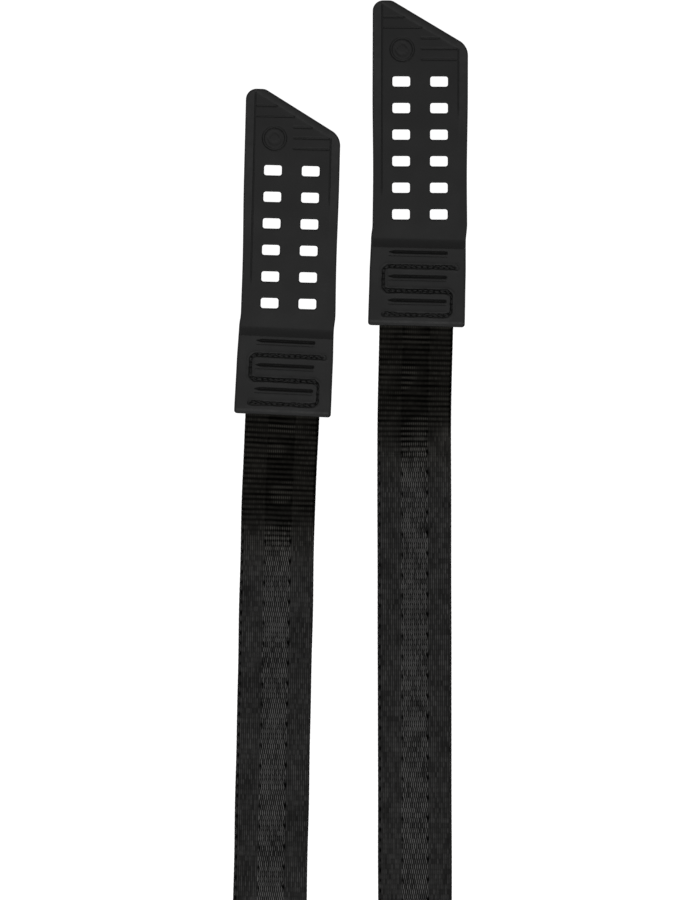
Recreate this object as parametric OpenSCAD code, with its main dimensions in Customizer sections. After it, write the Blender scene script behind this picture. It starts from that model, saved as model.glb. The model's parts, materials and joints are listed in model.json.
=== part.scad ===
// A pair of climbing-skin tail straps, lying flat side by side.
// Each strap is a moulded rubber ladder tab sewn to the end of a woven webbing strap.
// Millimetres, +Z up. The straps rest on z = 0 and their tab tips point along +Y.

/* [Webbing] */
// Width of the webbing
web_w = 38; // [30:0.5:44]
// Thickness of the webbing
web_t = 1.6; // [1.2:0.1:2]
// Length of webbing that shows below the tab
web_len = 300; // [200:5:400]
// Where the webbing starts to drift sideways, below the tab
drift_from = 28; // [15:1:35]
// Length over which it drifts
drift_len = 34; // [20:1:45]
// Angle that it has turned after that
drift_deg = 1.5; // [0.5:0.1:3]

/* [Fold lines] */
// Distance of the upper fold line below the tab
tab_fold_s = 10; // [6:1:14]
// Distance of the lower fold line below the tab
web_fold_s = 120; // [90:5:160]

/* [Sewing pad] */
// Length of the pad, from its bottom edge to the ladder
pad_len = 44.3; // [43:0.1:46]
// Width of the pad at its bottom edge
pad_w = 49.5; // [48.8:0.1:52]
// Thickness of the pad
pad_t = 3.9; // [3.7:0.1:4.4]
// Length of the ramp between the pad and the ladder
ramp_len = 4.5; // [2:0.5:5]
// Spacing of the pad's stitch runs, and of its grooves
row_pitch = 12.3; // [12:0.1:12.5]

/* [Ladder] */
// Thickness of the ladder
ladder_t = 2.4; // [2:0.1:3]
// Width where the ladder meets the pad
neck_w = 48.5; // [47:0.1:49.4]
// Width at the narrowest rows of slots
waist_w = 48; // [46:0.1:48.4]
// Width from the upper slots to the tip
shoulder_w = 48.8; // [47.5:0.1:50]
// Sideways lean of the ladder on its pad
ladder_lean = 1.25; // [0:0.05:2]
// Slope of the slanted tip
tip_slope = 30.7; // [25:0.1:35]
// Number of slot rows
slot_rows = 6; // [4:1:6]
// Slot width, across the strap
slot_w = 9; // [8:0.1:11]
// Slot height, along the strap
slot_h = 5.2; // [5:0.1:6.5]
// Distance between the two slot columns
slot_columns = 19.3; // [17:0.1:21]
// Distance between slot rows
slot_pitch = 13.57; // [13:0.01:14]

/* [Thread] */
// Radius of the needle thread
thread_r = 0.35; // [0.25:0.05:0.4]
// Length of one stitch
stitch_len = 2.8; // [2.4:0.1:3.5]

/* [Placement] */
// Distance between the two straps' centrelines
pair_gap = 68.4; // [60:0.2:90]
// How far the right strap lies ahead of the left one
pair_step = 45.5; // [0:0.5:60]
// Lean of the left strap
left_lean = 2.7; // [0:0.1:4]
// Lean of the right strap
right_lean = 1.4; // [0:0.1:4]

/* [Hidden] */

rubber_colour = "#2a2a2a";
webbing_colour = "#343434";
thread_colour = "#101010";
eps = 1;            // how far a cutter runs past the face that it opens
fit = 0.05;         // gap between neighbours that touch in real life
arc_step = 9;       // degrees between the points of a round corner

// The webbing's tongue sits in a pocket under the pad, raised to leave room for the bobbin thread.
bobbin_r = 0.16;
tongue_lift = 2 * bobbin_r + 2 * fit;
tongue_len = pad_len - 6.8;
tongue_step = 2;    // length over which the tongue is as thick as both of its levels
pocket_w = web_w + 0.6;
pocket_h = tongue_lift + web_t + fit;

// Stitch runs and grooves on the pad. The first run is the lowest.
run_y0 = 5.7;
run_half = 16.8;
run_tail = 3;       // the needle thread's extra length, where the sewing ends
stitch_share = 0.8; // how much of each stitch lies on the surface
channel_w = 2.6;
channel_depth = 0.6;
groove_y0 = run_y0 + 7.3;
groove_len = 30;
groove_w = 1.4;
groove_depth = 0.8;
pad_corner_r = 1.6;

// The ladder's own frame starts at the middle of the bend line.
ladder_dx = 0.7;
waist_y = 33;
shoulder_y = 75;
slot_y0 = 12.9;
slot_corner_r = 1.2;
tip_y = 128;        // height at which the slant would meet the left edge
tip_left_r = 5.5;
tip_flat = 2.8;     // level stretch at the top of the left corner
tip_right_r = 8.8;

// Relief lines on the tip.
relief_depth = 0.3;
border_side = 4.8;
border_slant = 3.9;
border_line_w = 0.5;
left_border_y = 20;
right_border_y = 61;
rib_count = 5;
rib_y0 = 113.6;
rib_pitch = 5.4;
rib_w = 0.8;
rib_gap = 0.9;      // clear of the border line
roundel = [-9.25, 97.1];
roundel_r = 6.2;
roundel_line_w = 1;

// Middle of the tab's bottom edge on each strap, placed so that the pair is centred on the origin.
centre_x = 0.01;
centre_y = 66.9;
strap_pos = [
  [centre_x - pair_gap / 2, centre_y - pair_step / 2],
  [centre_x + pair_gap / 2, centre_y + pair_step / 2],
];
strap_lean = [left_lean, right_lean];

function turn(p, a) = [p.x * cos(a) - p.y * sin(a), p.x * sin(a) + p.y * cos(a)];

// Points on an arc about c, from angle a0 to a1.
function arc(c, r, a0, a1) =
  let (n = max(2, ceil(abs(a1 - a0) / arc_step)))
  [for (i = [0:n]) c + r * [cos(a0 + (a1 - a0) * i / n), sin(a0 + (a1 - a0) * i / n)]];

function rounded_box(w, h, r) = concat(
  arc([w / 2 - r, h / 2 - r], r, 0, 90), arc([r - w / 2, h / 2 - r], r, 90, 180),
  arc([r - w / 2, r - h / 2], r, 180, 270), arc([w / 2 - r, r - h / 2], r, 270, 360));

// The webbing's centreline, s millimetres below the tab: straight, then a slight arc, then straight.
drift_r = drift_len / (drift_deg * PI / 180);
drift_to = drift_from + drift_len;
function drift(s) = drift_deg * min(max((s - drift_from) / drift_len, 0), 1);
function web_mid(s) =
  let (a = drift(s), run = max(s - drift_to, 0))
  [drift_r * (1 - cos(a)) + run * sin(a), -min(s, drift_from) - drift_r * sin(a) - run * cos(a)];
function web_edge(s, side) = web_mid(s) + side * web_w / 2 * [cos(drift(s)), sin(drift(s))];
function web_stops(s0, s1) = concat([s0], [for (i = [0:6])
  let (s = drift_from + drift_len * i / 6) if (s > s0 && s < s1) s], [s1]);

// The ladder's outline in its own frame, up the left edge and down the right one.
ladder_half = shoulder_w / 2;
slant_end_y = tip_y - shoulder_w * tan(tip_slope);
tip_left_y = tip_y - (tip_left_r + tip_flat) * tan(tip_slope) - tip_left_r / cos(tip_slope);
tip_left_c = [tip_left_r - ladder_half, tip_left_y];
tip_right_c = [ladder_half - tip_right_r, slant_end_y - tip_right_r * tan((90 - tip_slope) / 2)];
function ladder_edge() = concat(
  [[-waist_w / 2, waist_y], [-ladder_half, shoulder_y]],
  arc(tip_left_c, tip_left_r, 180, 90),
  arc(tip_left_c + [tip_flat, 0], tip_left_r, 90, 90 - tip_slope),
  arc(tip_right_c, tip_right_r, 90 - tip_slope, 0),
  [[ladder_half, shoulder_y], [waist_w / 2, waist_y]]);
function on_strap(p) = [ladder_dx, pad_len] + turn(p, ladder_lean);
function ladder_outline() = concat(
  [[-neck_w / 2, pad_len]], [for (p = ladder_edge()) on_strap(p)], [[neck_w / 2, pad_len]]);

function pad_outline() = concat(
  [[neck_w / 2, pad_len], [-neck_w / 2, pad_len]],
  arc([pad_corner_r - pad_w / 2, pad_corner_r], pad_corner_r, 180, 270),
  arc([pad_w / 2 - pad_corner_r, pad_corner_r], pad_corner_r, 270, 360));

// The line that a thread follows: three runs joined by a return at each side, and a tail on the last run.
run_y = [for (i = [0:2]) run_y0 + i * row_pitch];
function stitch_path(tail) = [
  [-run_half, run_y[0]], [run_half, run_y[0]], [run_half, run_y[1]],
  [-run_half, run_y[1]], [-run_half, run_y[2]], [run_half + tail, run_y[2]],
];
needle_path = stitch_path(run_tail);
bobbin_path = stitch_path(0);

module left_strap() translate(strap_pos[0]) rotate(-strap_lean[0]) children();
module right_strap() translate(strap_pos[1]) rotate(-strap_lean[1]) children();
module on_ladder() translate([ladder_dx, pad_len]) rotate(ladder_lean) children();

// A straight cut into a top face at height z.
module top_cut(size, z, depth) translate([-size.x / 2, -size.y / 2, z - depth]) cube([size.x, size.y, depth + eps]);

module slot() translate([0, 0, -eps]) linear_extrude(ladder_t + 2 * eps)
  polygon(rounded_box(slot_w, slot_h, slot_corner_r));

// Line that marks the inside of the tip's raised border: left side, slant and right side.
module border_lines() {
  inner = ladder_half - border_side;
  // height of the border's inner edge under the slant, at a given x
  slant_y = function (x) tip_y - border_slant / cos(tip_slope) - (x + ladder_half) * tan(tip_slope);
  left_top = slant_y(-inner);
  right_top = slant_y(inner);
  translate([-inner, (left_border_y + left_top) / 2])
    top_cut([border_line_w, left_top - left_border_y], ladder_t, relief_depth);
  translate([inner, (right_border_y + right_top) / 2])
    top_cut([border_line_w, right_top - right_border_y], ladder_t, relief_depth);
  translate([0, (left_top + right_top) / 2]) rotate(-tip_slope)
    top_cut([2 * inner / cos(tip_slope), border_line_w], ladder_t, relief_depth);
}

// Ribs pressed into the tip: the first two start at the border, the others beside the roundel.
module tip_ribs() {
  inner = ladder_half - border_side;
  for (i = [0:rib_count - 1]) {
    y = rib_y0 - i * rib_pitch;
    slant_x = (tip_y - border_slant / cos(tip_slope) - y) / tan(tip_slope) - ladder_half;
    x0 = i < 2 ? -inner + rib_gap : rib_gap;
    x1 = min(inner, slant_x) - rib_gap;
    translate([(x0 + x1) / 2, y]) top_cut([x1 - x0, rib_w], ladder_t, relief_depth);
  }
}

module roundel_ring() translate([roundel.x, roundel.y, ladder_t - relief_depth]) difference() {
  cylinder(r = roundel_r, h = relief_depth + eps, $fn = 64);
  translate([0, 0, -eps]) cylinder(r = roundel_r - roundel_line_w, h = relief_depth + 3 * eps, $fn = 64);
}

module ladder() color(rubber_colour) difference() {
  linear_extrude(ladder_t) polygon(ladder_outline());
  on_ladder() {
    for (side = [-1, 1], i = [0:slot_rows - 1])
      translate([side * slot_columns / 2, slot_y0 + i * slot_pitch]) slot();
    border_lines();
    tip_ribs();
    roundel_ring();
  }
}

// A straight piece of the stitch channel between two points.
module channel(a, b) {
  low = [min(a.x, b.x), min(a.y, b.y)];
  high = [max(a.x, b.x), max(a.y, b.y)];
  translate((low + high) / 2) top_cut(high - low + [channel_w, channel_w], pad_t, channel_depth);
}

module sewing_pad() color(rubber_colour) difference() {
  intersection() {
    linear_extrude(pad_t) polygon(pad_outline());
    translate([-pad_w, 0, 0]) rotate([90, 0, 90]) linear_extrude(2 * pad_w) polygon([
      [-eps, 0], [pad_len, 0], [pad_len, ladder_t], [pad_len - ramp_len, pad_t], [-eps, pad_t]]);
  }
  translate([-pocket_w / 2, -eps, -eps]) cube([pocket_w, tongue_len + fit + eps, pocket_h + eps]);
  for (i = [0:2]) translate([0, groove_y0 + i * row_pitch]) top_cut([groove_len, groove_w], pad_t, groove_depth);
  for (i = [0:len(needle_path) - 2]) channel(needle_path[i], needle_path[i + 1]);
}

// Separate stitches of radius r along a path, their axes at height z.
module stitches(path, r, z) for (i = [0:len(path) - 2]) {
  a = path[i];
  step = path[i + 1] - a;
  count = round(norm(step) / stitch_len);
  for (k = [0:count - 1])
    translate([a.x, a.y, z] + [step.x, step.y, 0] * (k + 0.5) / count)
      rotate([0, 90, atan2(step.y, step.x)])
        cylinder(r = r, h = norm(step) / count * stitch_share, center = true, $fn = 24);
}

module needle_thread() color(thread_colour) stitches(needle_path, thread_r, pad_t - channel_depth + thread_r + fit);

module bobbin_thread() color(thread_colour) stitches(bobbin_path, bobbin_r, bobbin_r + fit);

// Flat webbing from s0 to s1 millimetres below the tab.
module webbing(s0, s1) {
  stops = web_stops(s0, s1);
  last = len(stops) - 1;
  color(webbing_colour) linear_extrude(web_t) polygon(concat(
    [for (s = stops) web_edge(s, -1)], [for (i = [0:last]) web_edge(stops[last - i], 1)]));
}

module webbing_tongue() color(webbing_colour) {
  translate([-web_w / 2, -tab_fold_s, 0]) cube([web_w, tab_fold_s, web_t]);
  translate([-web_w / 2, -tongue_step, tongue_lift]) cube([web_w, tongue_step + tongue_len, web_t]);
}

module webbing_upper() webbing(tab_fold_s, web_fold_s);

module webbing_lower() webbing(web_fold_s, web_len);

left_strap() ladder();  // left_ladder
left_strap() sewing_pad();  // left_sewing_pad
left_strap() needle_thread();  // left_needle_thread
left_strap() bobbin_thread();  // left_bobbin_thread
left_strap() webbing_tongue();  // left_webbing_tongue
left_strap() webbing_upper();  // left_webbing_upper
left_strap() webbing_lower();  // left_webbing_lower
right_strap() ladder();  // right_ladder
right_strap() sewing_pad();  // right_sewing_pad
right_strap() needle_thread();  // right_needle_thread
right_strap() bobbin_thread();  // right_bobbin_thread
right_strap() webbing_tongue();  // right_webbing_tongue
right_strap() webbing_upper();  // right_webbing_upper
right_strap() webbing_lower();  // right_webbing_lower
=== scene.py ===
"""Looks of a pair of climbing-skin tail straps: a moulded rubber ladder tab sewn to woven webbing, twice.

Shapes are worked out in millimetres on the strap's own axes, x across and y towards the tip, with 0 at the
middle of the tab's bottom edge, and are placed on each strap of the CAD frame by its joints.
"""

import json

import bpy
import numpy as np
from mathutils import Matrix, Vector, kdtree
from mathutils.geometry import delaunay_2d_cdt


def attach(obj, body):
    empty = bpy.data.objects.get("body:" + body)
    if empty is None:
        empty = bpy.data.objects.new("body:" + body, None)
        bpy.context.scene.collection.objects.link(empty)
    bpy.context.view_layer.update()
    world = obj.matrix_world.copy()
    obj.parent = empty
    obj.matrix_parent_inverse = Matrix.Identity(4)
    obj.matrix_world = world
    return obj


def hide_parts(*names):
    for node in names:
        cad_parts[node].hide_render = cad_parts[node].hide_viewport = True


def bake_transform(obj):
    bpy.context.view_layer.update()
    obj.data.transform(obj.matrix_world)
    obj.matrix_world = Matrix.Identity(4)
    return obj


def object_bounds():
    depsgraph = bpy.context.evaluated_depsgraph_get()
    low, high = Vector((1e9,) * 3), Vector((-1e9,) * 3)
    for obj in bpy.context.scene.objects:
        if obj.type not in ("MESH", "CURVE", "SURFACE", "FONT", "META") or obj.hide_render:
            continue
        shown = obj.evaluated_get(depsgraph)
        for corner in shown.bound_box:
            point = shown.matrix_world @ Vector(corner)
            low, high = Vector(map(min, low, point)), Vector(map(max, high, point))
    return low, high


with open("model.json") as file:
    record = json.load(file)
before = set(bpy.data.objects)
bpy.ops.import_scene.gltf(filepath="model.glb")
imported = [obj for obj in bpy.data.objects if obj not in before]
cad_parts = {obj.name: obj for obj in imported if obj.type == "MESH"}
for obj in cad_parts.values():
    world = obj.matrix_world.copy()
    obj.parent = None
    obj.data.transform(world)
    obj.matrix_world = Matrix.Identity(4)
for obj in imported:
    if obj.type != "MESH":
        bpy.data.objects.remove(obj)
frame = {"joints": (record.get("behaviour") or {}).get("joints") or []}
cad_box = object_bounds()

MM = 0.001
SEED = 20
JOINTS = {j["name"]: j for j in frame["joints"]}

# Lengths on the strap, as the CAD has them, in millimetres.
TAB_FOLD_S, WEB_LEN = 10, 300
PAD_LEN, RAMP_FROM, RAMP_LEN, PAD_T, LADDER_T = 44.3, 39.9, 5, 3.9, 2.4
LADDER_DX, LADDER_LEAN = 0.7, np.radians(1.25)
WEB_W, WEB_T, TONGUE_LEN, TONGUE_LIFT = 38, 1.6, 37.5, 0.42
DRIFT_FROM, DRIFT_LEN, DRIFT = 28, 34, np.radians(1.5)
ROW_Y = [5.7, 17.9, 30.35]
GROOVE_Y = [13.05, 25.3, 37.7]
RUN_HALF, RUN_TAIL = 16.8, 3
STITCH_LEN = 2.8
SLOT_ROWS, SLOT_COLUMNS, SLOT_Y0, SLOT_PITCH = 6, 19.3, 12.9, 13.57
SLOT_W, SLOT_H, SLOT_R = 9.0, 5.2, 1.2


def smooth(t):
    """0 below 0, 1 above 1, and an even S between."""
    t = np.clip(t, 0, 1)
    return t * t * (3 - 2 * t)


def wander(x, y, seed, scale):
    """A slow even wobble from -1 to 1, the same each run."""
    rng = np.random.default_rng(seed)
    out = 0
    for _ in range(5):
        a, b, c = rng.uniform(-1, 1, 2).tolist() + [rng.uniform(0, 6.3)]
        out = out + np.sin((a * x + b * y) / scale + c)
    return out / 3


def turned(x, y, angle):
    return x * np.cos(angle) - y * np.sin(angle), x * np.sin(angle) + y * np.cos(angle)


# ---------------------------------------------------------------- meshes and places


class Strap:
    """One strap's place on the CAD frame."""

    def __init__(self, side):
        self.side = side
        low = np.array(JOINTS[f"{side}_tab_fold"]["pos_m"][:2])
        high = np.array(JOINTS[f"{side}_ladder_bend"]["pos_m"][:2])
        self.up = (high - low) / np.linalg.norm(high - low)
        self.across = np.array([self.up[1], -self.up[0]])
        self.origin = low + self.up * TAB_FOLD_S * MM

    def place(self, points):
        """Points in the strap's millimetres, in the row frame's metres."""
        points = np.asarray(points, float)
        flat = self.origin + MM * (points[:, :1] * self.across + points[:, 1:2] * self.up)
        return np.column_stack([flat, points[:, 2] * MM])


def make_piece(name, points, faces, material, attributes=None):
    """A smooth mesh object. faces is a list of index arrays; attributes hold one value per point."""
    mesh = bpy.data.meshes.new(name)
    sizes = np.concatenate([np.full(len(f), f.shape[1]) for f in faces])
    corners = np.concatenate([f.ravel() for f in faces])
    mesh.vertices.add(len(points))
    mesh.vertices.foreach_set("co", np.asarray(points, np.float32).ravel())
    mesh.loops.add(len(corners))
    mesh.loops.foreach_set("vertex_index", corners.astype(np.int32))
    mesh.polygons.add(len(sizes))
    starts = np.concatenate([[0], np.cumsum(sizes)[:-1]])
    mesh.polygons.foreach_set("loop_start", starts.astype(np.int32))
    mesh.update(calc_edges=True)
    mesh.validate()
    mesh.shade_smooth()
    for key, values in (attributes or {}).items():
        kind, field = ("FLOAT_VECTOR", "vector") if values.ndim == 2 else ("FLOAT", "value")
        mesh.attributes.new(key, kind, "POINT").data.foreach_set(field, values.astype(np.float32).ravel())
    piece = bpy.data.objects.new(name, mesh)
    bpy.context.scene.collection.objects.link(piece)
    mesh.materials.append(material)
    return piece


def grid_faces(rows, columns, closed):
    """Quads between the points of a rows by columns grid, with each row closed to a loop or open."""
    r = np.arange(rows - 1)[:, None]
    c = np.arange(columns if closed else columns - 1)[None, :]
    after = (c + 1) % columns
    quads = [r * columns + c, r * columns + after, (r + 1) * columns + after, (r + 1) * columns + c]
    return np.stack(np.broadcast_arrays(*quads), -1).reshape(-1, 4)


# ---------------------------------------------------------------- materials


class Nodes:
    """Short names for adding shader nodes and linking them."""

    def __init__(self, name):
        self.material = bpy.data.materials.new(name)
        self.material.use_nodes = True
        self.tree = self.material.node_tree
        self.shader = self.tree.nodes["Principled BSDF"]

    def add(self, kind, inputs=None, **settings):
        n = self.tree.nodes.new(kind)
        for key, value in settings.items():
            setattr(n, key, value)
        for key, value in (inputs or {}).items():
            self.put(n.inputs[key], value)
        return n

    def put(self, socket, value):
        if isinstance(value, bpy.types.NodeSocket):
            self.tree.links.new(value, socket)
        else:
            socket.default_value = value

    def attribute(self, name, output="Fac"):
        return self.add("ShaderNodeAttribute", attribute_name=name).outputs[output]

    def maths(self, operation, a, b=0.0, clamp=False):
        return self.add("ShaderNodeMath", {0: a, 1: b}, operation=operation, use_clamp=clamp).outputs[0]

    def noise(self, vector, scale, detail=3.0, roughness=0.55):
        inputs = {"Vector": vector, "Scale": scale, "Detail": detail, "Roughness": roughness}
        return self.add("ShaderNodeTexNoise", inputs).outputs["Fac"]

    def stretch(self, vector, scale):
        return self.add("ShaderNodeVectorMath", {0: vector, 1: scale}, operation="MULTIPLY").outputs[0]

    def between(self, value, low, high, to_low=0.0, to_high=1.0):
        inputs = {"Value": value, "From Min": low, "From Max": high, "To Min": to_low, "To Max": to_high}
        return self.add("ShaderNodeMapRange", inputs).outputs[0]

    def mix(self, share, a, b, blend="MIX"):
        n = self.add("ShaderNodeMix", data_type="RGBA", blend_type=blend)
        self.put(n.inputs["Factor"], share)
        self.put(n.inputs[6], a)
        self.put(n.inputs[7], b)
        return n.outputs[2]

    def bump(self, height, distance, strength=1.0, normal=None):
        n = self.add("ShaderNodeBump", {"Height": height, "Distance": distance, "Strength": strength})
        if normal is not None:
            self.put(n.inputs["Normal"], normal)
        return n.outputs[0]

    def finish(self, **sockets):
        for key, value in sockets.items():
            self.put(self.shader.inputs[key.replace("_", " ")], value)
        return self.material


def grey(value, warmth=0.0):
    """A near-neutral colour, in linear light."""
    return (value * (1 + warmth), value, value * (1 - warmth), 1.0)


def rubber_material():
    n = Nodes("moulded_rubber")
    at = n.attribute("rest_mm", "Vector")
    polish = n.attribute("polish")
    cloud = n.between(n.noise(at, 0.045, 4.0), 0.3, 0.7)
    speck = n.between(n.noise(at, 1.1, 2.0), 0.35, 0.75)
    base = n.mix(cloud, grey(0.0145), grey(0.0196))
    base = n.mix(n.maths("MULTIPLY", speck, 0.25), base, grey(0.026))
    # The raised border and the step along the foot are polished by handling.
    handled = n.maths("MULTIPLY", polish, n.between(n.noise(at, 0.35, 3.0), 0.35, 0.65, 0.11, 0.21))
    rough = n.between(cloud, 0.0, 1.0, 0.50, 0.60)
    grain = n.maths("ADD", n.noise(at, 3.2, 2.0), n.maths("MULTIPLY", n.noise(at, 0.5, 2.0), 0.8))
    shine = n.maths("ADD", handled, 0.53)
    normal = n.bump(grain, 0.00003, 0.5)
    return n.finish(Base_Color=base, Roughness=rough, Specular_IOR_Level=shine, Normal=normal)


def webbing_material():
    n = Nodes("woven_webbing")
    at = n.attribute("rest_mm", "Vector")
    tone_and_highlight, depth = n.attribute("tone_and_highlight"), n.attribute("depth")
    fibre = n.noise(n.stretch(at, (9.0, 0.8, 9.0)), 1.0, 2.0)
    patch = n.noise(at, 0.12, 3.0)
    # The yarn tones, with painted highlights on the crowns of the yarns.
    base = n.mix(n.maths("MULTIPLY", tone_and_highlight, 0.7), grey(0.004), grey(0.27))
    # Painted shade darkens the base colour in the gaps, the pits and along the right selvedge.
    base = n.mix(n.maths("MULTIPLY", depth, 0.95, clamp=True), base, grey(0.0008))
    # The ribbed stretch by the tab is a slightly browner black.
    along = n.add("ShaderNodeSeparateXYZ", {0: at}).outputs[1]
    tint = n.mix(n.between(along, 40.0, 85.0), (1.05, 1.0, 0.88, 1.0), grey(1.0, 0.015))
    base = n.mix(1.0, base, tint, "MULTIPLY")
    fine, broad = n.between(fibre, 0.25, 0.75, 0.7, 1.3), n.between(patch, 0.3, 0.7, 0.85, 1.15)
    shade = n.maths("MULTIPLY", fine, broad)
    base = n.add("ShaderNodeVectorMath", {0: base, 1: (1, 1, 1)}, operation="SCALE")
    n.put(base.inputs["Scale"], shade)
    rough = n.between(fibre, 0.2, 0.8, 0.52, 0.72)
    normal = n.bump(fibre, 0.00006, 0.6)
    # Less shine where the painted shade lies.
    shine = n.between(depth, 0.0, 0.9, 0.13, 0.02)
    return n.finish(
        Base_Color=base.outputs[0], Roughness=rough, Normal=normal, Specular_IOR_Level=shine,
        Specular_Tint=tint,
    )


def melted_material():
    n = Nodes("melted_edge")
    at = n.attribute("rest_mm", "Vector")
    lumps = n.noise(at, 1.3, 3.0)
    base = n.mix(lumps, grey(0.004), grey(0.012))
    rough = n.between(lumps, 0.3, 0.7, 0.22, 0.4)
    return n.finish(Base_Color=base, Roughness=rough, Normal=n.bump(lumps, 0.0002, 0.7))


def thread_material():
    n = Nodes("bonded_thread")
    at = n.attribute("rest_mm", "Vector")
    fibre = n.noise(at, 4.0, 2.0)
    base = n.mix(fibre, grey(0.006), grey(0.020))
    return n.finish(Base_Color=base, Roughness=0.5, Normal=n.bump(fibre, 0.00004, 0.5))


RUBBER, WEBBING = rubber_material(), webbing_material()
MELTED, THREAD = melted_material(), thread_material()


# ---------------------------------------------------------------- the moulded tab

# Half widths of the tab at heights above its bottom edge; the ladder's own frame starts at PAD_LEN.
WIDTHS = [(0, 24.75), (26, 24.6), (PAD_LEN, 24.25), (PAD_LEN + 33, 24.0), (PAD_LEN + 75, 24.4)]
CORNER_R, TIP_LEFT_R, TIP_FLAT, TIP_RIGHT_R = 1.6, 5.5, 2.8, 8.8
TIP_Y, SLOPE = PAD_LEN + 128, np.radians(30.7)
RIM_R, RIM_R_UNDER, SLOT_RIM_R, SLOT_RIM_R_UNDER = 0.7, 0.35, 0.55, 0.25
RIM_STEPS = (0, 0.1, 0.3, 0.6, 1.0)    # rings of points on a rounded rim, as shares of its radius
POCKET_HALF, POCKET_END, POCKET_H, POCKET_WALL = 19.3, TONGUE_LEN + 0.3, 2.07, 0.3
LEAN_OVER = 8                          # length over which its lean eases in

# The raised border round the ladder's field, the fine line inside it, and the tip's ribs and roundel.
BORDER_X, BORDER_SLANT, BORDER_EDGE, BORDER_EDGE_SLANT = 19.5, 3.9, 0.5, 0.6
LEFT_LINE_Y, RIGHT_LINE_Y = PAD_LEN + 20, PAD_LEN + 61
BORDER_LINE_W, BORDER_LINE_DEPTH, BORDER_LINE_WALL, BORDER_LINE_FADE = 0.6, 0.2, 0.35, 8
FIELD_FROM, FIELD_FADE, FIELD_DEPTH = PAD_LEN + 40, 45, 0.16
RIB_Y0, RIB_PITCH, RIB_COUNT, RIB_W, RIB_DEPTH = PAD_LEN + 113.6, 5.4, 5, 0.8, 0.34
RIB_WALL, RIB_GAP, RIBS_FROM_BORDER = 0.35, 0.9, 2
ROUNDEL, ROUNDEL_R, ROUNDEL_W, ROUNDEL_DEPTH = (-9.25, PAD_LEN + 97.1), 5.7, 1.1, 0.4
BOSS_R, BOSS_W, BOSS_DEPTH, ROUNDEL_WALL = 2.9, 0.7, 0.25, 0.4

# The pad: the ramp down to the ladder, the worn edges, the low step along its foot and the three grooves.
RAMP_CURVE, PAD_FADE = 1.7, 3
UNEVEN, UNEVEN_LEN = 0.05, 3.5
EDGE_FALL, EDGE_REACH = 0.18, 1.5
FOOT_FALL, FOOT_REACH, FOOT_SLOPE = 0.34, 2.4, 0.8
GROOVE_LEN, GROOVE_W, GROOVE_DEPTH = 30, 1.85, 1.35
GROOVE_TAPER, GROOVE_THIN, GROOVE_END = 3, 0.35, 0.5
LINE_BELOW, LINE_W, LINE_DEPTH, LINE_WALL = 1.95, 0.35, 0.22, 0.3    # a fine line below each groove
# What is polished by handling: the border's inner edge on the slant, and the foot's step.
SLANT_POLISH, SLANT_POLISH_REACH = 0.5, 1.7
FOOT_POLISH, FOOT_POLISH_REACH = 2.6, 0.45

# The sewing: its channel with a ragged wall, the ridge beside it and the pit at each stitch.
CHANNEL_W, CHANNEL_WALL, CHANNEL_DEPTHS = 2.0, 0.6, [0.28, 0.62, 0.34]
RAGGED = [(0.16, 0.7), (0.12, 1.9)]    # how far the wall wanders, and over what length
TACK_WIDER, RETURN_NARROWER, RETURN_FROM = 0.35, 0.5, 1.5
RIDGE_H, RIDGE_OUT, RIDGE_W, RIDGE_RAGGED = 0.09, 0.65, 0.5, 3
PIT_DEPTH, PIT_R = 0.5, 0.5
STITCH_CORNERS = np.array([
    (-RUN_HALF, ROW_Y[0]), (RUN_HALF, ROW_Y[0]), (RUN_HALF, ROW_Y[1]),
    (-RUN_HALF, ROW_Y[1]), (-RUN_HALF, ROW_Y[2]), (RUN_HALF + RUN_TAIL, ROW_Y[2]),
])
STITCH_TURN_R, STITCH_BOW = 2.0, 1.5
TACK_LEN, TACK_ASIDE = 8, 0.75    # the sewing runs back over itself at both of its ends


def half_width(y):
    """The outline's half width, eased between the stated heights."""
    out = np.full(np.shape(y), WIDTHS[-1][1], float)
    for (y0, w0), (y1, w1) in reversed(list(zip(WIDTHS, WIDTHS[1:]))):
        out = np.where(y < y1, w0 + (w1 - w0) * smooth((y - y0) / (y1 - y0)), out)
    return out


def arc(centre, radius, a0, a1, step=0.45):
    n = max(3, int(abs(a1 - a0) * radius / step))
    a = np.linspace(a0, a1, n + 1)
    return np.column_stack([centre[0] + radius * np.cos(a), centre[1] + radius * np.sin(a)])


def straight(a, b, step=0.8):
    n = max(2, int(np.hypot(*(np.array(b) - a)) / step))
    return np.linspace(a, b, n + 1)


def without_repeats(loop):
    keep = np.linalg.norm(loop - np.roll(loop, 1, 0), axis=1) > 0.05
    return loop[keep]


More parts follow.
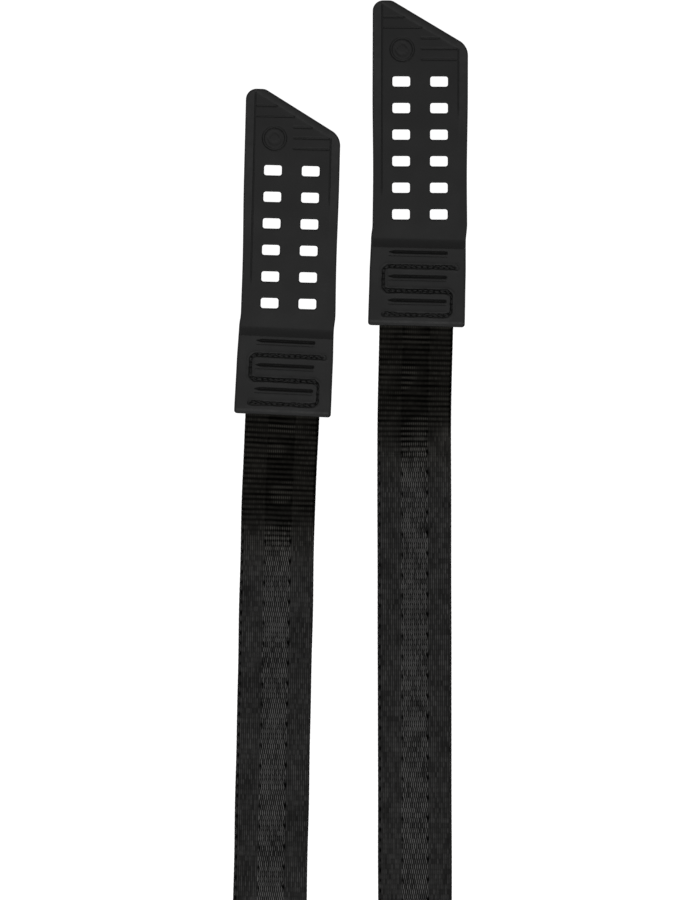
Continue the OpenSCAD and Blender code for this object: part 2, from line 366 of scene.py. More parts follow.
def tab_outline():
    """The tab's outline, anticlockwise from the bottom edge."""
    half, top = WIDTHS[-1][1], np.pi / 2 - SLOPE
    foot = WIDTHS[0][1]
    left = (TIP_LEFT_R - half, TIP_Y - (TIP_LEFT_R + TIP_FLAT) * np.tan(SLOPE) - TIP_LEFT_R / np.cos(SLOPE))
    level = (left[0] + TIP_FLAT, left[1])
    right = (half - TIP_RIGHT_R, TIP_Y - 2 * half * np.tan(SLOPE) - TIP_RIGHT_R * np.tan(top / 2))
    up = np.linspace(CORNER_R, right[1], 150)
    down = np.linspace(left[1], CORNER_R, 180)
    slant = straight(arc(right, TIP_RIGHT_R, 0, top)[-1], arc(level, TIP_LEFT_R, top, np.pi / 2)[0])
    flat = straight((level[0], level[1] + TIP_LEFT_R), (left[0], left[1] + TIP_LEFT_R))
    return without_repeats(np.concatenate([
        straight((CORNER_R - foot, 0), (foot - CORNER_R, 0)),
        arc((foot - CORNER_R, CORNER_R), CORNER_R, -np.pi / 2, 0, 0.3),
        np.column_stack([half_width(up), up]),
        arc(right, TIP_RIGHT_R, 0, top), slant, arc(level, TIP_LEFT_R, top, np.pi / 2),
        flat, arc(left, TIP_LEFT_R, np.pi / 2, np.pi),
        np.column_stack([-half_width(down), down]),
        arc((CORNER_R - foot, CORNER_R), CORNER_R, np.pi, 1.5 * np.pi, 0.3),
    ]))


def slot_centres():
    return [
        (side * SLOT_COLUMNS / 2, PAD_LEN + SLOT_Y0 + row * SLOT_PITCH)
        for row in range(SLOT_ROWS) for side in (-1, 1)
    ]


def slot_loop(centre):
    """A slot's outline, clockwise, so that the rubber lies on the same side as on the outer outline."""
    w, h, r = SLOT_W / 2, SLOT_H / 2, SLOT_R
    corners = [(w - r, h - r, 0), (r - w, h - r, 1), (r - w, r - h, 2), (w - r, r - h, 3)]
    loop = [arc((x, y), r, k * np.pi / 2, (k + 1) * np.pi / 2, 0.3) for x, y, k in corners]
    sides = []
    for k, part in enumerate(loop):
        sides += [part, straight(part[-1], loop[(k + 1) % 4][0], 0.5)]
    return without_repeats(np.concatenate(sides))[::-1] + centre


def inward(loop):
    """Unit normals that point into the rubber."""
    along = np.roll(loop, -1, 0) - np.roll(loop, 1, 0)
    along /= np.linalg.norm(along, axis=1)[:, None]
    return np.column_stack([-along[:, 1], along[:, 0]])


def inside(points, loop):
    """Which points lie inside a closed outline."""
    x, y = points[:, 0], points[:, 1]
    found = np.zeros(len(points), bool)
    for (x0, y0), (x1, y1) in zip(loop, np.roll(loop, -1, 0)):
        if y0 != y1:
            crosses = (y0 > y) != (y1 > y)
            found ^= crosses & (x < x0 + (y - y0) * (x1 - x0) / (y1 - y0))
    return found


def to_segment(x, y, a, b):
    """Distance from points to a segment."""
    a, b = np.asarray(a, float), np.asarray(b, float)
    d = b - a
    t = np.clip(((x - a[0]) * d[0] + (y - a[1]) * d[1]) / (d @ d), 0, 1)
    return np.hypot(x - a[0] - t * d[0], y - a[1] - t * d[1])


def groove(distance, half, wall=0.3):
    """1 in the floor of a groove, 0 outside it."""
    return 1 - smooth((distance - half + wall / 2) / wall)


def stitch_path():
    """The line of the sewing: three runs, with rounded turns and returns that bow outwards."""
    line = [STITCH_CORNERS[:1]]
    for before, corner, after in zip(STITCH_CORNERS, STITCH_CORNERS[1:], STITCH_CORNERS[2:]):
        back, on = (v / np.linalg.norm(v) for v in (before - corner, after - corner))
        t = np.linspace(0, np.pi / 2, 6)[:, None]
        line.append(corner + STITCH_TURN_R * (back * (1 - np.sin(t)) + on * (1 - np.cos(t))))
    line = np.concatenate([*line, STITCH_CORNERS[-1:]])
    for low, high, sign in ((ROW_Y[0], ROW_Y[1], 1), (ROW_Y[1], ROW_Y[2], -1)):
        share = np.clip((line[:, 1] - low) / (high - low), 0, 1)
        line[:, 0] += sign * STITCH_BOW * np.sin(np.pi * share) * (line[:, 0] * sign > 0)
    return line


STITCH_LINE = stitch_path()


def path_distance(x, y):
    pairs = zip(STITCH_LINE, STITCH_LINE[1:])
    return np.min([to_segment(x, y, a, b) for a, b in pairs], axis=0)


def slant_inner(x):
    """Height of the border's inner edge under the slanted tip."""
    return TIP_Y - BORDER_SLANT / np.cos(SLOPE) - (x + WIDTHS[-1][1]) * np.tan(SLOPE)


def in_field(x, y):
    """1 on the ladder's field, 0 on the raised border beside and above it."""
    beside = smooth((BORDER_X - np.abs(x)) / BORDER_EDGE + 0.5)
    return beside * smooth((slant_inner(x) - y) / BORDER_EDGE_SLANT + 0.5)


def rib_ends(i):
    """A rib's two ends. The first ribs start at the border, and the rest start in the middle."""
    y = RIB_Y0 - i * RIB_PITCH
    left = -BORDER_X if i < RIBS_FROM_BORDER else 0
    at_slant = (slant_inner(0) - y) / np.tan(SLOPE)
    return (left + RIB_GAP, y), (min(BORDER_X, at_slant) - RIB_GAP, y)


def stitch_holes(length, start=0.0, stop=1e3):
    """Where the thread goes through, at even steps along the sewing. A negative start is from its end."""
    run = np.concatenate([[0], np.cumsum(np.linalg.norm(np.diff(STITCH_LINE, axis=0), axis=1))])
    at = np.arange(start % run[-1], min(stop, run[-1]), length)
    return np.column_stack([np.interp(at, run, STITCH_LINE[:, k]) for k in (0, 1)])


def pad_grooves(x, y):
    """Depth of the pad's V grooves, which taper at their left ends, and of the fine lines below them."""
    half = GROOVE_LEN / 2
    taper = GROOVE_THIN + (1 - GROOVE_THIN) * smooth((x + half) / GROOVE_TAPER)
    ends = smooth((half - 0.2 - np.abs(x)) / GROOVE_END + 0.5)
    down = 0
    for groove_y in GROOVE_Y:
        down = down + GROOVE_DEPTH * ends * np.clip(taper - np.abs(y - groove_y) / (GROOVE_W / 2), 0, 1)
        down = down + LINE_DEPTH * groove(np.abs(y - groove_y + LINE_BELOW), LINE_W / 2, LINE_WALL) * ends
    return down


def channel_depth(y):
    """How deep the sewing lies, which differs from run to run."""
    return np.interp(y, ROW_Y, CHANNEL_DEPTHS)


def sewn_in(x, y):
    """How far the sewing has pulled the pad's surface down."""
    run = path_distance(x, y)
    rough = sum(size * wander(x, y, SEED + k, length) for k, (size, length) in enumerate(RAGGED))
    ends = [STITCH_LINE[0], STITCH_LINE[-1]]
    near_end = np.max([np.exp(-((x - e[0]) ** 2 + (y - e[1]) ** 2) / TACK_LEN**2) for e in ends], axis=0)
    on_return = smooth((np.abs(x) - RUN_HALF + RETURN_FROM) / RETURN_FROM) * (1 - near_end)
    wider = TACK_WIDER * near_end - RETURN_NARROWER * on_return
    down = channel_depth(y) * groove(run - rough - wider, CHANNEL_W / 2, CHANNEL_WALL)
    ridge = np.exp(-(((run - CHANNEL_W / 2 - RIDGE_OUT) / RIDGE_W) ** 2))
    down = down - RIDGE_H * ridge * (1 + RIDGE_RAGGED * rough)
    for hole in stitch_holes(STITCH_LEN):
        down = down + PIT_DEPTH * np.exp(-((x - hole[0]) ** 2 + (y - hole[1]) ** 2) / PIT_R**2)
    return down


def tab_top(x, y):
    """Height of the tab's upper surface, before its rims are rounded."""
    ramp = np.clip((y - RAMP_FROM) / RAMP_LEN, 0, 1)
    z = LADDER_T + (PAD_T - LADDER_T) * (1 - ramp) ** RAMP_CURVE
    on_pad = smooth((RAMP_FROM - y) / PAD_FADE)
    side = np.clip((EDGE_REACH - half_width(y) + np.abs(x)) / EDGE_REACH, 0, 1)
    z = z - on_pad * EDGE_FALL * side**2 - FOOT_FALL * smooth((FOOT_REACH - y) / FOOT_SLOPE)
    z = z + UNEVEN * on_pad * wander(x, y, SEED + 2, UNEVEN_LEN)
    z = z - pad_grooves(x, y) - sewn_in(x, y)
    z = z - FIELD_DEPTH * in_field(x, y) * smooth((y - FIELD_FROM) / FIELD_FADE)
    below_slant = y < slant_inner(x) + BORDER_LINE_W / 2
    for line_x, line_y in ((-BORDER_X, LEFT_LINE_Y), (BORDER_X, RIGHT_LINE_Y)):
        line = groove(np.abs(x - line_x), BORDER_LINE_W / 2, BORDER_LINE_WALL)
        z = z - BORDER_LINE_DEPTH * line * smooth((y - line_y) / BORDER_LINE_FADE) * below_slant
    for i in range(RIB_COUNT):
        z = z - RIB_DEPTH * groove(to_segment(x, y, *rib_ends(i)), RIB_W / 2, RIB_WALL)
    out = np.hypot(x - ROUNDEL[0], y - ROUNDEL[1])
    z = z - ROUNDEL_DEPTH * groove(np.abs(out - ROUNDEL_R), ROUNDEL_W / 2, ROUNDEL_WALL)
    return z - BOSS_DEPTH * groove(np.abs(out - BOSS_R), BOSS_W / 2, ROUNDEL_WALL)


def tab_under(x, y):
    """Height of the underside: flat, with the pocket that holds the webbing's end."""
    across = smooth((POCKET_HALF - np.abs(x)) / POCKET_WALL + 0.5)
    return POCKET_H * across * smooth((POCKET_END - y) / POCKET_WALL + 0.5)


def lean(x, y):
    """Turns the ladder on its pad, eased in over the first millimetres of the ladder."""
    px, py = turned(x, y - PAD_LEN, LADDER_LEAN)
    share = smooth((y - PAD_LEN) / LEAN_OVER)
    return x + share * (px + LADDER_DX - x), y + share * (py + PAD_LEN - y)


def spaced_lines(low, high, step, fine_at):
    """Grid lines a step apart, and closer across each feature, which is (middle, half width, step)."""
    lines = [np.arange(low, high, step)]
    lines += [np.arange(c - h, c + h + s / 2, s) for c, h, s in fine_at]
    fine = np.sort(np.concatenate(lines))
    keep = [fine[0]]
    for value in fine[1:]:
        if value - keep[-1] > 0.1:
            keep.append(value)
    return np.array(keep)


def tab_polish(x, y, rim_share):
    """How polished each point of the tab is: the border, its inner edge on the slant, and the foot."""
    past_slant = np.clip((y - slant_inner(x)) * np.cos(SLOPE), 0, 9) * smooth(BORDER_X - np.abs(x))
    polish = (1 - in_field(x, y)) * smooth((y - FIELD_FROM) / FIELD_FADE) * (1 - rim_share)
    # Along the slanted tip only the border's inner edge is polished.
    polish *= 1 + SLANT_POLISH * np.clip(past_slant, 0, 1)
    polish *= np.exp(-((past_slant / SLANT_POLISH_REACH) ** 2))
    foot = np.exp(-(((y - FOOT_REACH + FOOT_SLOPE / 2) / FOOT_POLISH_REACH) ** 2))
    return polish + FOOT_POLISH * foot * (np.abs(x) < half_width(y) - 1)


def tab_shape():
    """Points (x, y, top, underside), triangles, boundary loops and polish of the moulded tab."""
    outline = tab_outline()
    loops = [(outline, RIM_R, RIM_R_UNDER)]
    loops += [(slot_loop(c), SLOT_RIM_R, SLOT_RIM_R_UNDER) for c in slot_centres()]
    flat, rim_top, rim_under, rim, edges, borders = [], [], [], [], [], []
    count = 0
    for loop, r, r_under in loops:
        for step in RIM_STEPS:
            d = r * step
            flat.append(loop + d * inward(loop))
            rim_top.append(np.full(len(loop), r - np.sqrt(r * r - (r - d) ** 2)))
            under = max(r_under - d, 0)
            rim_under.append(np.full(len(loop), r_under - np.sqrt(r_under**2 - under**2)))
            rim.append(np.full(len(loop), 1 - step**2))
            ring = np.arange(count, count + len(loop))
            edges += list(zip(ring.tolist(), np.roll(ring, -1).tolist()))
            if step == 0:
                borders.append(ring)
            count += len(loop)

    # Extra points along the slanted line and the roundel, which the grid doesn't follow.
    slant_x = np.arange(-BORDER_X, BORDER_X, 0.45)
    for off in np.arange(-0.6, 0.61, 0.2):
        flat.append(np.column_stack([slant_x, slant_inner(slant_x) + off]))
    for radius in np.arange(ROUNDEL_R - 0.9, ROUNDEL_R + 0.91, 0.2):
        flat.append(arc(ROUNDEL, radius, 0, 2 * np.pi, 0.45)[:-1])
    guides = np.concatenate(flat)

    features_x = [(s * c, h, 0.16) for s in (-1, 1) for c, h in ((BORDER_X, 0.6), (RUN_HALF + 0.5, 2.4))]
    features_y = [(c, 2.0, 0.16) for c in ROW_Y] + [(c, 1.0, 0.13) for c in GROOVE_Y]
    features_y += [(c - LINE_BELOW, 0.4, 0.12) for c in GROOVE_Y]
    features_y += [(RIB_Y0 - i * RIB_PITCH, 0.65, 0.14) for i in range(RIB_COUNT)]
    features_y += [(RAMP_FROM + RAMP_LEN / 2, 2.8, 0.3), (POCKET_END, 0.3, 0.15), (1.2, 1.2, 0.3)]
    xs = spaced_lines(-25, 25, 0.7, features_x)
    ys = spaced_lines(0.5, TIP_Y, 0.8, features_y)
    grid = np.stack(np.meshgrid(xs, ys), -1).reshape(-1, 2)
    tree = kdtree.KDTree(len(guides))
    for i, p in enumerate(guides):
        tree.insert((p[0], p[1], 0), i)
    tree.balance()
    clear = np.array([tree.find((p[0], p[1], 0))[2] > 0.13 for p in grid])
    ok = clear & inside(grid, outline + RIM_R * inward(outline))
    for loop, r, _ in loops[1:]:
        ok &= ~inside(grid, loop + r * inward(loop))
    grid = grid[ok]

    points = np.concatenate([guides, grid])
    extra = np.zeros(len(points) - count)
    rims = [np.concatenate([*part, extra]) for part in (rim_top, rim_under, rim)]
    verts, _, tris, origins, _, _ = delaunay_2d_cdt([tuple(p) for p in points], edges, [], 0, 1e-5)
    first = np.array([o[0] for o in origins])
    out, tris = np.array([tuple(v) for v in verts]), np.array([tuple(t) for t in tris])
    middle = out[tris].mean(1)
    keep = inside(middle, outline)
    for loop, _, _ in loops[1:]:
        keep &= ~inside(middle, loop)
    tris = tris[keep]
    a, b, c = (out[tris[:, i]] for i in range(3))
    flipped = np.cross(b - a, c - a) < 0
    tris[flipped] = tris[flipped][:, ::-1]
    at = {int(o): i for i, o in enumerate(first)}
    borders = [np.array([at[int(i)] for i in ring]) for ring in borders]
    top, under, rim_share = (part[first] for part in rims)
    x, y = out[:, 0], out[:, 1]
    polish = tab_polish(x, y, rim_share)
    return x, y, tab_top(x, y) - top, tab_under(x, y) + under, tris, borders, polish


def make_tab(strap, shape):
    x, y, top, under, tris, borders, polish = shape
    px, py = lean(x, y)
    n = len(x)
    points = np.concatenate([np.column_stack([px, py, top]), np.column_stack([px, py, under])])
    walls = []
    for ring in borders:
        after = np.roll(ring, -1)
        walls.append(np.column_stack([ring, ring + n, after + n, after]))
    rest = np.concatenate([np.column_stack([x, y, top]), np.column_stack([x, y, under])])
    faces = [tris, tris[:, ::-1] + n, np.concatenate(walls)]
    piece = make_piece(
        f"{strap.side}_ladder_tab", strap.place(points), faces, RUBBER,
        {"rest_mm": rest, "polish": np.concatenate([polish, polish])},
    )
    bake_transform(piece)
    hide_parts(f"{strap.side}_sewing_pad", f"{strap.side}_ladder")
    return piece


# ---------------------------------------------------------------- the webbing

RIB = 2.6              # pitch of the weft, along the strap
WARP = 1.02            # pitch of the warp, across it
PICK_PHASE = 0.4       # where the picks lie between the ribs
STRIPE_LEFT, STRIPE_RIGHT, STRIPE_EDGE = -6.7, 6.8, 0.5
RIBBED_TO, RIBBED_FADE, RIBBED_RAGGED = 48, 18, 5
STRIPE_OPEN_TO, STRIPE_OPEN_FADE = 61, 13
SHOWING_S, SHOWING_W = 6.5, 2.2
SIDESTEP = 0.25        # how far the stripe's yarns step aside, as a share of their pitch
SPLIT_S = 25.1 * RIB   # the two pieces meet on the crest of a pick
FRONT_RIBS = 40        # length of the front piece
MELT_LEN = 1.4

# A looser pick leaves small pits beside the stripe and on the selvedge: (place across, phase along,
# height, strength).
PIT_EVERY = 4 * RIB
PITS = [
    (STRIPE_LEFT + 0.2, 0.27, 1.3, 1.0), (STRIPE_RIGHT - 0.1, 0.34, 1.5, 1.2),
    (1.2 - WEB_W / 2, 0.78, 1.1, 1.5), (1.2 - WEB_W / 2, 0.28, 0.9, 1.0),
]
PIT_HALF_W, PITS_LESS_RIBBED = 0.45, 0.7

# Tones of the yarns, as (in the shade, what a painted highlight adds), and how far each feature lies below
# the crests in millimetres and how dark its painted shade is.
SIDE_TONE, STRIPE_TONE = (0.06, 0.38), (0.02, 1.15)
RIBBED_TONE, RIBBED_STRIPE_TONE, SHOWING_TONE, BRIGHTEST = (0.022, 0.125), (0.005, 0.07), 0.45, 1.4
GAP_LOW, OPEN_GAP_LOW, PIT_LOW = 0.05, 0.19, 0.32
YARN_LOW, STRIPE_YARN_LOW, BEHIND_LOW = 0.04, 0.10, 0.05
GAP_SHADE, STRIPE_GAP_SHADE, PIT_SHADE, STRIPE_YARN_SHADE = 0.06, 0.02, 1.1, 0.6
OPEN_GAP_SHADE, OPEN_STRIPE_SHADE = 0.62, 0.28
RIGHT_EDGE_IN, RIGHT_EDGE_W, RIGHT_EDGE_SHADE, RIBBED_EDGE_SHADE = 0.8, 0.6, 0.3, 0.5


def web_middle(s):
    """The centreline, s millimetres below the tab, and the angle that it has turned."""
    a = DRIFT * np.clip((s - DRIFT_FROM) / DRIFT_LEN, 0, 1)
    run = np.maximum(s - DRIFT_FROM - DRIFT_LEN, 0)
    r = DRIFT_LEN / DRIFT
    x = r * (1 - np.cos(a)) + run * np.sin(a)
    y = -np.minimum(s, DRIFT_FROM) - r * np.sin(a) - run * np.cos(a)
    return x, y, a


def per_stitch(column, row, seed):
    """A fixed chance from 0 to 1 for each crossing of a warp yarn and a pick."""
    table = np.random.default_rng(seed).random((61, 257))
    return table[column.astype(int) % 61, row.astype(int) % 257]


def weave(u, s, seed):
    """Relief, tone with its painted highlights, and painted shade of one face of the webbing at u across
    and s along.
    """
    s = s + 0.12 * wander(u, s, seed, 7) + 0.08 * wander(u, s, seed + 1, 2.2)
    u = u + 0.05 * wander(u, s, seed + 2, 9)
    stripe = smooth((u - STRIPE_LEFT) / STRIPE_EDGE + 0.5) * smooth((STRIPE_RIGHT - u) / STRIPE_EDGE + 0.5)
    ragged = RIBBED_RAGGED * wander(u, 0 * s, seed + 6, 6)
    ribbed = 1 - smooth((s - RIBBED_TO - ragged) / RIBBED_FADE)
    plain = 1 - ribbed
    row = s / RIB + PICK_PHASE
    # The stripe's warp yarns step aside by half a yarn from pick to pick.
    u = u + SIDESTEP * WARP * stripe * plain * np.sin(np.pi * row)
    column = np.floor(u / WARP)
    yarn = np.sin(np.pi * u / WARP) ** 2
    pick = np.abs(np.sin(np.pi * row))
    # The warp yarns stand proud in turn with their neighbours, on every second pick.
    proud = smooth(0.5 + 0.6 * np.cos(np.pi * (s / RIB + column)))
    chance = 0.4 + 1.2 * per_stitch(column, np.floor(row), seed + 11)
    chance = np.clip(chance + 0.28 * wander(u, s, seed + 3, 2.2), 0.05, 2.4)
    # Patches where the warp shows between the ribs, one of them right under the tab.
    showing = smooth((wander(u, s, seed + 8, 3.2) - 0.25) / 0.4)
    showing = np.maximum(showing, np.exp(-(((s - SHOWING_S) / SHOWING_W) ** 2)))
    pits = pit_depth(u, s, ribbed)
    gap = 1 - pick ** (0.8 + 0.6 * ribbed)
    gap = gap * (1 + 0.5 * ribbed * wander(u, 3 * s, seed + 10, 2.4))
    # In the stripe the gaps between the picks, sunk deeper and given painted shade, run on further than on
    # either side of it.
    open_gaps = ribbed + stripe * (1 - smooth((s - STRIPE_OPEN_TO) / STRIPE_OPEN_FADE) - ribbed)

    # How light each yarn is, as painted highlights on its crown: the stripe's long floats, the plain sides,
    # and the crests of the ribs.
    float_highlight = 1.5 * yarn**2 * (0.8 + 0.2 * proud) * (0.6 + 0.4 * pick) * (0.15 + 0.85 * chance)
    side_highlight = yarn * (0.75 + 0.25 * pick) * chance
    crest = pick**1.5 * (0.3 + 0.7 * chance) * (1 - showing * (1 - yarn))
    tone_and_highlight = plain * (1 - stripe) * (SIDE_TONE[0] + SIDE_TONE[1] * side_highlight)
    tone_and_highlight = tone_and_highlight + plain * stripe * (STRIPE_TONE[0] + STRIPE_TONE[1] * float_highlight)
    tone_and_highlight = tone_and_highlight + ribbed * (1 - stripe) * (RIBBED_TONE[0] + RIBBED_TONE[1] * crest * (0.6 + 0.8 * yarn))
    seen = RIBBED_STRIPE_TONE[1] * crest + SHOWING_TONE * showing * yarn * pick**2
    tone_and_highlight = tone_and_highlight + ribbed * stripe * (RIBBED_STRIPE_TONE[0] + seen)

    low = gap * (GAP_LOW + OPEN_GAP_LOW * open_gaps) + PIT_LOW * pits
    low = low + (1 - yarn) * (YARN_LOW + STRIPE_YARN_LOW * plain * stripe)
    low = low + BEHIND_LOW * stripe * plain * (1 - proud) * yarn
    # Painted shade: in the gaps between the picks, in the pits, between the stripe's yarns and along the
    # right selvedge.
    gap_shade = GAP_SHADE + STRIPE_GAP_SHADE * stripe
    gap_shade = gap_shade + open_gaps * (OPEN_GAP_SHADE + OPEN_STRIPE_SHADE * stripe)
    depth = gap * gap_shade + PIT_SHADE * pits + STRIPE_YARN_SHADE * plain * stripe * (1 - yarn)
    # Painted shade along the right selvedge, deeper where the webbing is ribbed.
    edge = np.exp(-(((u - WEB_W / 2 + RIGHT_EDGE_IN) / RIGHT_EDGE_W) ** 2))
    depth = depth + (RIGHT_EDGE_SHADE + RIBBED_EDGE_SHADE * ribbed) * edge
    return low, np.clip(tone_and_highlight, 0, BRIGHTEST), np.clip(depth, 0, 1)


def pit_depth(u, s, ribbed):
    """The pits beside the stripe and along the left selvedge, fainter where the webbing is ribbed."""
    out = 0
    for at, shift, tall, strength in PITS:
        along = ((s / PIT_EVERY + shift) % 1 - 0.5) * PIT_EVERY
        out = out + strength * np.exp(-(((u - at) / PIT_HALF_W) ** 2) - (along / tall) ** 2)
    return np.clip(out, 0, 1) * (1 - PITS_LESS_RIBBED * ribbed)


def make_webbing(strap, name, s_from, s_to, seed):
    """A stretch of webbing as a closed sheet: relief above and below, and rounded selvedges."""
    edge_r, top_step, under_step = 0.62, WARP / 5, WARP / 2.5
    reach = WEB_W / 2 - edge_r
    s = np.arange(s_from, s_to + RIB / 10, RIB / 5)
    top_u = np.linspace(reach, -reach, int(2 * reach / top_step) + 1)
    under_u = np.linspace(-reach, reach, int(2 * reach / under_step) + 1)
    bend = np.linspace(0, np.pi, 6)[1:-1]
    # One loop of the section: over the top, round the left selvedge, back underneath, round the right one.
    u = np.concatenate([top_u, -reach - edge_r * np.sin(bend), under_u, reach + edge_r * np.sin(bend)])
    up = np.concatenate([np.ones(len(top_u)), np.cos(bend), -np.ones(len(under_u)), -np.cos(bend)])
    u_grid, s_grid = np.meshgrid(u, s)
    up_grid = np.broadcast_to(up, u_grid.shape)
    # Tone with its painted highlights, and painted shade, for both faces, blended round the selvedges.
    low, tone_and_highlight, depth = weave(u_grid, s_grid, seed)
    low_under, tone_and_highlight_under, depth_under = weave(u_grid, s_grid + 0.5 * RIB, seed + 40)
    facing_up = smooth(up_grid * 0.5 + 0.5)
    low = np.where(up_grid > 0, low, low_under) * np.abs(up_grid)
    tone_and_highlight = tone_and_highlight_under + facing_up * (tone_and_highlight - tone_and_highlight_under)
    depth = depth_under + facing_up * (depth - depth_under)
    melt = smooth((s_grid - WEB_LEN + MELT_LEN) / 0.8)
    low = low * (1 - 0.8 * melt) - 0.05 * melt * wander(u_grid, s_grid, seed + 9, 1.2)
    half_t = WEB_T / 2 - 0.01
    level = half_t + TONGUE_LIFT * smooth((2.5 - s_grid) / 4)
    z = level + up_grid * (half_t - low)
    wave = 0.03 * np.sin(2 * np.pi * s_grid / RIB) + 0.10 * wander(u_grid * 0, s_grid, seed + 5, 8)
    side = np.sign(u_grid) * smooth((np.abs(u_grid) - reach + 0.4) / 0.6)
    across = u_grid + side * (wave - 0.12)
    x0, y0, a = web_middle(s_grid)
    points = np.stack([x0 + across * np.cos(a), y0 + across * np.sin(a), z], -1).reshape(-1, 3)
    columns, rows = len(u), len(s)
    faces = grid_faces(rows, columns, closed=True)
    rest = np.stack([u_grid, s_grid, z], -1).reshape(-1, 3)
    first = np.arange(columns)
    caps = [first[None], (rows - 1) * columns + first[None, ::-1]]
    piece = make_piece(
        name, strap.place(points), [faces[:, ::-1], *caps], WEBBING,
        {"rest_mm": rest, "tone_and_highlight": tone_and_highlight.ravel(), "depth": depth.ravel()},
    )
    # Flat cut ends leave the shading to run on from one piece to the next.
    for cap in (-2, -1):
        piece.data.polygons[cap].use_smooth = False
    if s_to >= WEB_LEN:
        piece.data.materials.append(MELTED)
        melted_rows = (s[:-1] > WEB_LEN - MELT_LEN).repeat(columns)
        index = np.zeros(len(piece.data.polygons), np.int32)
        index[: len(melted_rows)] = melted_rows
        index[-1] = 1
        piece.data.polygons.foreach_set("material_index", index)
    return piece


def add_webbing(strap, seed):
    """The webbing in two pieces that meet between the fold lines, each crossing one of them."""
    side = strap.side
    front = make_webbing(strap, f"{side}_webbing_front", SPLIT_S - FRONT_RIBS * RIB, SPLIT_S, seed)
    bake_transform(front)
    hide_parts(f"{side}_webbing_tongue", f"{side}_webbing_upper")
    rear = make_webbing(strap, f"{side}_webbing_rear", SPLIT_S, WEB_LEN, seed)
    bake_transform(rear)
    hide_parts(f"{side}_webbing_lower")


# ---------------------------------------------------------------- the sewing

NEEDLE_R, BOBBIN_R, PLY_TWIST = 0.36, 0.17, 2.4


def thread_tube(line, radius, twist, sides=10, plies=3):
    """A tube along a line, with the grooves of its twisted plies."""
    along = np.gradient(line, axis=0)
    along /= np.linalg.norm(along, axis=1)[:, None]
    side = np.cross(along, (0, 0, 1.0))
    side /= np.linalg.norm(side, axis=1)[:, None]
    other = np.cross(side, along)
    run = np.concatenate([[0], np.cumsum(np.linalg.norm(np.diff(line, axis=0), axis=1))])
    a = np.linspace(0, 2 * np.pi, sides, endpoint=False)
    r = radius * (1 + 0.14 * np.cos(plies * (a[None, :] - twist * run[:, None])))
    ends = np.minimum(1, np.minimum(run, run[-1] - run) / radius + 0.35)
    r = r * ends[:, None]
    ring = side[:, None] * np.cos(a)[None, :, None] + other[:, None] * np.sin(a)[None, :, None]
    return (line[:, None] + r[..., None] * ring).reshape(-1, 3)


def make_thread(strap, name, node, radius, floor, sign, passes, seed):
    """Every stitch of one thread: an arch over floor(y) that dives into the layers at both ends.

    Each pass is (stitch length, start, stop, distance aside of the line).
    """
    rng = np.random.default_rng(seed)
    steps, sides = 13, 10
    t = np.linspace(0, 1, steps)[:, None]
    clouds = []
    for length, start, stop, aside in passes:
        holes = stitch_holes(length, start, stop)
        for a, b in zip(holes, holes[1:]):
            on_return = np.abs(np.array(ROW_Y) - (a[1] + b[1]) / 2).min() > 1.5
            if on_return and aside > 0:
                continue    # the second pass leaves the returns out
            normal = np.array([a[1] - b[1], b[0] - a[0]]) / np.linalg.norm(b - a)
            bow = rng.uniform(-0.2, 0.2) * np.sin(np.pi * t) + aside + rng.uniform(-0.1, 0.1)
            flat = a + (b - a) * (0.04 + 0.92 * t) + bow * normal
            z = floor(flat[:, 1:]) + sign * radius * (rng.uniform(0.85, 1.1) - 2.2 * np.abs(2 * t - 1) ** 6)
            line = np.column_stack([flat, z])
            clouds.append(thread_tube(line, radius * rng.uniform(0.9, 1.08), PLY_TWIST, sides))
    size = steps * sides
    tubes = [grid_faces(steps, sides, closed=True) + k * size for k in range(len(clouds))]
    ring = np.arange(sides)
    caps = [k * size + end for k in range(len(clouds)) for end in (ring[::-1], size - sides + ring)]
    cloud = np.concatenate(clouds)
    faces = [np.concatenate(tubes), np.array(caps)]
    piece = make_piece(name, strap.place(cloud), faces, THREAD, {"rest_mm": cloud})
    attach(piece, f"{strap.side}_tab")
    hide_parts(node)


def add_sewing(strap, seed):
    """The needle thread, sewn forwards and back over itself, and the bobbin thread under the webbing."""
    side = strap.side
    whole = 1e3    # longer than the sewing
    forward = (STITCH_LEN, 0, whole, -0.28)
    back = (1.17 * STITCH_LEN, 0.8, whole, 0.32)
    tacks = [(STITCH_LEN, 0.4, TACK_LEN, TACK_ASIDE), (STITCH_LEN, -TACK_LEN, whole, TACK_ASIDE)]

    def above(y):
        return PAD_T - channel_depth(y)

    def below(y):
        return np.full(np.shape(y), TONGUE_LIFT - 0.02)

    name, node = f"{side}_needle_stitches", f"{side}_needle_thread"
    make_thread(strap, name, node, NEEDLE_R, above, 1, [forward, back, *tacks], seed)
    name, node = f"{side}_bobbin_stitches", f"{side}_bobbin_thread"
    make_thread(strap, name, node, BOBBIN_R, below, -1, [(STITCH_LEN, 0, whole, 0.0)], seed + 1)


# ---------------------------------------------------------------- the studio

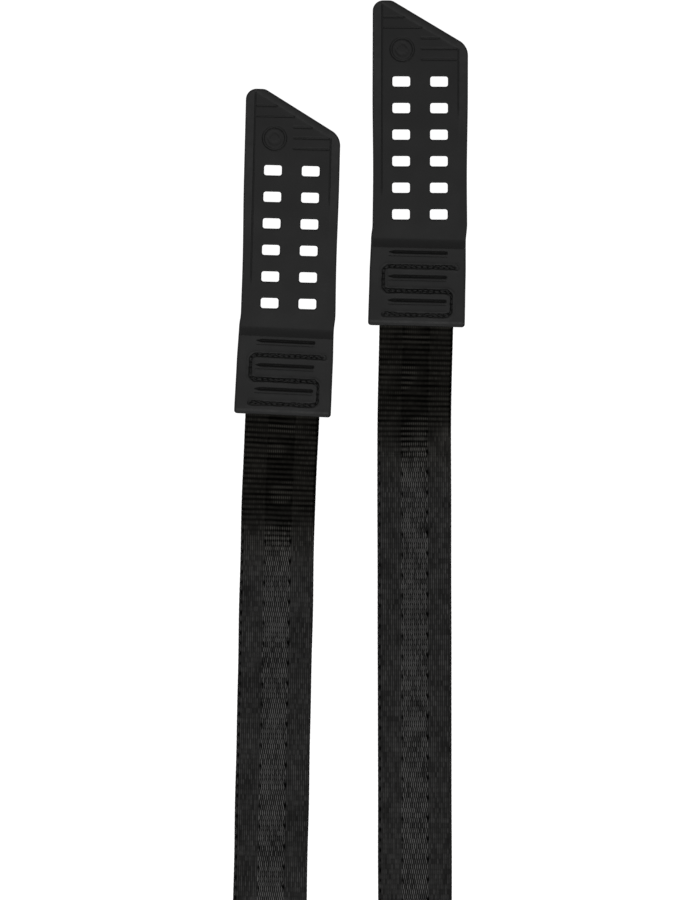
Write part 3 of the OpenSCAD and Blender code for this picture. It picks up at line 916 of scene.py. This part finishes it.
VIEW_CENTRE = (0.35, 26.47)     # middle of the picture on the row frame
VIEW_HEIGHT, CAMERA_HEIGHT, SENSOR = 459.9, 2600, 36


def add_area_light(name, place, size, power, aim=(0, 0, 0)):
    lamp = bpy.data.lights.new(name, "AREA")
    lamp.shape, lamp.size, lamp.energy = "SQUARE", size, power
    thing = bpy.data.objects.new(name, lamp)
    thing.location = place
    away = np.array(place) - aim
    thing.rotation_euler = Vector(away).to_track_quat("Z", "Y").to_euler()
    bpy.context.scene.collection.objects.link(thing)


def add_floor():
    n = Nodes("pale_floor")
    glow = {"Emission_Color": grey(1.0), "Emission_Strength": 0.9}
    material = n.finish(Base_Color=grey(0.85), Roughness=0.9, **glow)
    z = cad_box[0][2] - 0.0002
    corners = np.array([(-3, -3, z), (3, -3, z), (3, 3, z), (-3, 3, z)])
    make_piece("floor", corners, [np.arange(4)[None]], material)


def add_studio():
    scene = bpy.context.scene
    scene.view_settings.view_transform = "Standard"
    world = bpy.data.worlds.new("studio")
    world.use_nodes = True
    world.node_tree.nodes["Background"].inputs["Color"].default_value = grey(1.0)
    world.node_tree.nodes["Background"].inputs["Strength"].default_value = 0.06
    scene.world = world
    add_area_light("overhead", (0, -0.25, 1.9), 1.0, 6.4)
    add_area_light("key", (0.2, -1.5, 1.25), 0.8, 3.6)
    add_area_light("fill", (-0.6, 1.5, 1.2), 0.8, 2.2)
    camera = bpy.data.objects.new("camera", bpy.data.cameras.new("camera"))
    camera.location = (VIEW_CENTRE[0] * MM, VIEW_CENTRE[1] * MM, CAMERA_HEIGHT * MM)
    camera.data.sensor_width = SENSOR
    camera.data.lens = SENSOR * CAMERA_HEIGHT / VIEW_HEIGHT
    camera.data.clip_end = 20
    scene.collection.objects.link(camera)
    scene.camera = camera


add_studio()
add_floor()
tab = tab_shape()
for k, side in enumerate(("left", "right")):
    strap = Strap(side)
    make_tab(strap, tab)
    add_webbing(strap, SEED + 100 * k)
    add_sewing(strap, SEED + 100 * k + 50)
